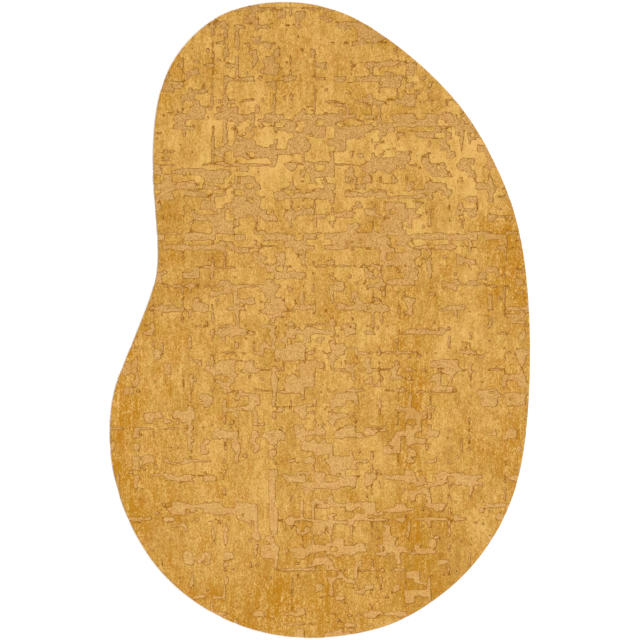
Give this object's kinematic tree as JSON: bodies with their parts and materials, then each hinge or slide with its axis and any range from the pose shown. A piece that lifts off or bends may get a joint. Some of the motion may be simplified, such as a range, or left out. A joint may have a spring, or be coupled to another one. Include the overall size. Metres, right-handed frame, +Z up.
{
  "type": "indoor-outdoor rug",
  "caption": "Bean-shaped indoor-outdoor rug, one flat piece of golden cut pile carved down to a lower tan ground in a worn lattice of rows and columns.",
  "frame": {"origin": "middle of the rug's box, on the flat underside that lies on the floor", "axes": "+Z up out of the pile, +Y along the rug's length towards its narrower end, +X to the right seen from above"},
  "size_m": [1.586, 2.4, 0.01],
  "materials": {
    "pile": "golden cut pile with a matte tan carved ground"
  },
  "bodies": {
    "root": {"rug": "pile"}
  },
  "joints": []
}
